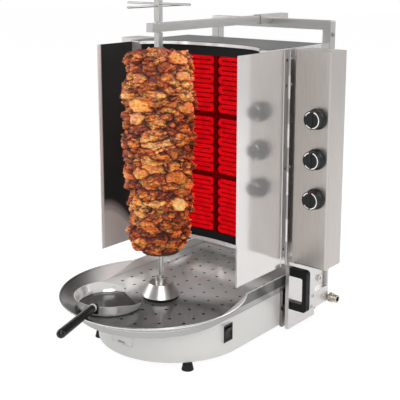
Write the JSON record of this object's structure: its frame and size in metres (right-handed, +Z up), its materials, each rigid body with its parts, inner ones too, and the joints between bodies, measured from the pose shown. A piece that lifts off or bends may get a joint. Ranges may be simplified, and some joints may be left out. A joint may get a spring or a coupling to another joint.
{
  "type": "gas doner kebab grill",
  "caption": "Upright gas grill for stacked meat on a turning spit, with a curved wall of glowing burners, side wings, knobs, a flared drip dish and a loose pan.",
  "frame": {"origin": "on the floor, under the middle of the whole part with its loose pan", "axes": "+X to the right seen from the front, +Y to the back, +Z up; the front of the dish faces -Y"},
  "size_m": [0.661, 0.888, 0.831],
  "materials": {
    "base_steel": "satin white steel",
    "tray_steel": "polished steel sheet",
    "plate_steel": "polished perforated steel",
    "dark_steel": "heat-proof black enamel",
    "cabinet_steel": "polished steel sheet",
    "burner_core": "glowing ceramic plaque",
    "radiant": "glowing hot bars",
    "box_steel": "fine brushed",
    "frame_steel": "brushed square tube",
    "spit_steel": "polished",
    "knob_black": "moulded",
    "grip_black": "moulded",
    "rubber": "plain",
    "brass": "turned",
    "motor": "cast housing",
    "meat": "roasted meat, wet sheen",
    "pan_steel": "polished",
    "screw_steel": "turned"
  },
  "bodies": {
    "base": {"base_shell": "base_steel", "base_floor": "base_steel", "feet": "rubber", "gear_motor": "motor", "drip_tray": "tray_steel", "plate_left": "plate_steel", "plate_right": "plate_steel", "shaft_seal": "rubber", "drawer_runners": "tray_steel", "switch_housing": "knob_black", "guide_rails": "tray_steel"},
    "drawer": {"fat_drawer": "base_steel"},
    "rocker": {"switch_rocker": "knob_black"},
    "carriage": {"screws": "screw_steel", "glide_bars": "frame_steel", "chassis": "tray_steel", "cabinet_shell": "cabinet_steel", "top_plate": "cabinet_steel", "upper_band": "dark_steel", "lower_band": "dark_steel", "burner_carrier": "dark_steel", "burner_left_low": "burner_core", "burner_left_mid": "burner_core", "burner_left_top": "burner_core", "burner_right_low": "burner_core", "burner_right_mid": "burner_core", "burner_right_top": "burner_core", "radiants_left": "radiant", "radiants_right": "radiant", "hinge_leaf_left": "frame_steel", "hinge_leaf_right": "frame_steel", "control_box_left": "box_steel", "control_box_right": "box_steel", "gas_taps_left": "brass", "gas_taps_right": "brass", "gas_pipe": "brass", "inlet_union": "brass", "side_handle_left": "grip_black", "side_handle_right": "grip_black", "rear_frame": "frame_steel", "arm_sleeve": "frame_steel"},
    "arm": {"arm": "frame_steel", "arm_bush": "brass"},
    "spit": {"drive_shaft": "spit_steel", "spit_bar": "spit_steel", "spit_disc": "spit_steel", "spit_head": "spit_steel", "cross_rods": "dark_steel", "drive_cone": "spit_steel", "meat": "meat"},
    "wing_left": {"wing_left": "cabinet_steel"},
    "wing_right": {"wing_right": "cabinet_steel"},
    "pan": {"pan": "pan_steel", "pan_handle": "grip_black"},
    "knob_left_low": {"knob_left_low": "knob_black"},
    "knob_left_mid": {"knob_left_mid": "knob_black"},
    "knob_left_top": {"knob_left_top": "knob_black"},
    "knob_right_low": {"knob_right_low": "knob_black"},
    "knob_right_mid": {"knob_right_mid": "knob_black"},
    "knob_right_top": {"knob_right_top": "knob_black"}
  },
  "joints": [
    {"name": "carriage_slide", "type": "slide", "parent": "base", "child": "carriage", "axis": [0, 1, 0], "range_m": [-0.02, 0.05]},
    {"name": "arm_slide", "type": "slide", "parent": "carriage", "child": "arm", "axis": [0, 1, 0], "range_m": [-0.05, 0.02]},
    {"name": "spit_turn", "type": "hinge", "parent": "base", "child": "spit", "pos_m": [0, -0.07, 0.1], "axis": [0, 0, 1], "continuous": true},
    {"name": "wing_left_hinge", "type": "hinge", "parent": "carriage", "child": "wing_left", "pos_m": [-0.2175, 0.14478, 0.45], "axis": [0, 0, -1], "range_deg": [0, 45]},
    {"name": "wing_right_hinge", "type": "hinge", "parent": "carriage", "child": "wing_right", "pos_m": [0.2175, 0.14478, 0.45], "axis": [0, 0, 1], "range_deg": [0, 45]},
    {"name": "rocker_tilt", "type": "hinge", "parent": "base", "child": "rocker", "pos_m": [0.184, -0.049, 0.072], "axis": [0, 1, 0], "range_deg": [-16, 0]},
    {"name": "drawer_slide", "type": "slide", "parent": "base", "child": "drawer", "axis": [0, -1, 0], "range_m": [0, 0.06]},
    {"name": "pan_lift", "type": "slide", "parent": "base", "child": "pan", "axis": [0, 0, 1], "range_m": [0, 0.08]},
    {"name": "knob_left_low_turn", "type": "hinge", "parent": "carriage", "child": "knob_left_low", "pos_m": [-0.2975, 0.13, 0.371], "axis": [0, -1, 0], "range_deg": [0, 180]},
    {"name": "knob_left_mid_turn", "type": "hinge", "parent": "carriage", "child": "knob_left_mid", "pos_m": [-0.2975, 0.13, 0.466], "axis": [0, -1, 0], "range_deg": [0, 180]},
    {"name": "knob_left_top_turn", "type": "hinge", "parent": "carriage", "child": "knob_left_top", "pos_m": [-0.2975, 0.13, 0.561], "axis": [0, -1, 0], "range_deg": [0, 180]},
    {"name": "knob_right_low_turn", "type": "hinge", "parent": "carriage", "child": "knob_right_low", "pos_m": [0.2975, 0.13, 0.371], "axis": [0, -1, 0], "range_deg": [0, 180]},
    {"name": "knob_right_mid_turn", "type": "hinge", "parent": "carriage", "child": "knob_right_mid", "pos_m": [0.2975, 0.13, 0.466], "axis": [0, -1, 0], "range_deg": [0, 180]},
    {"name": "knob_right_top_turn", "type": "hinge", "parent": "carriage", "child": "knob_right_top", "pos_m": [0.2975, 0.13, 0.561], "axis": [0, -1, 0], "range_deg": [0, 180]}
  ],
  "couplings": [
    {"joint": "arm_slide", "follows": "carriage_slide", "ratio": -1}
  ]
}
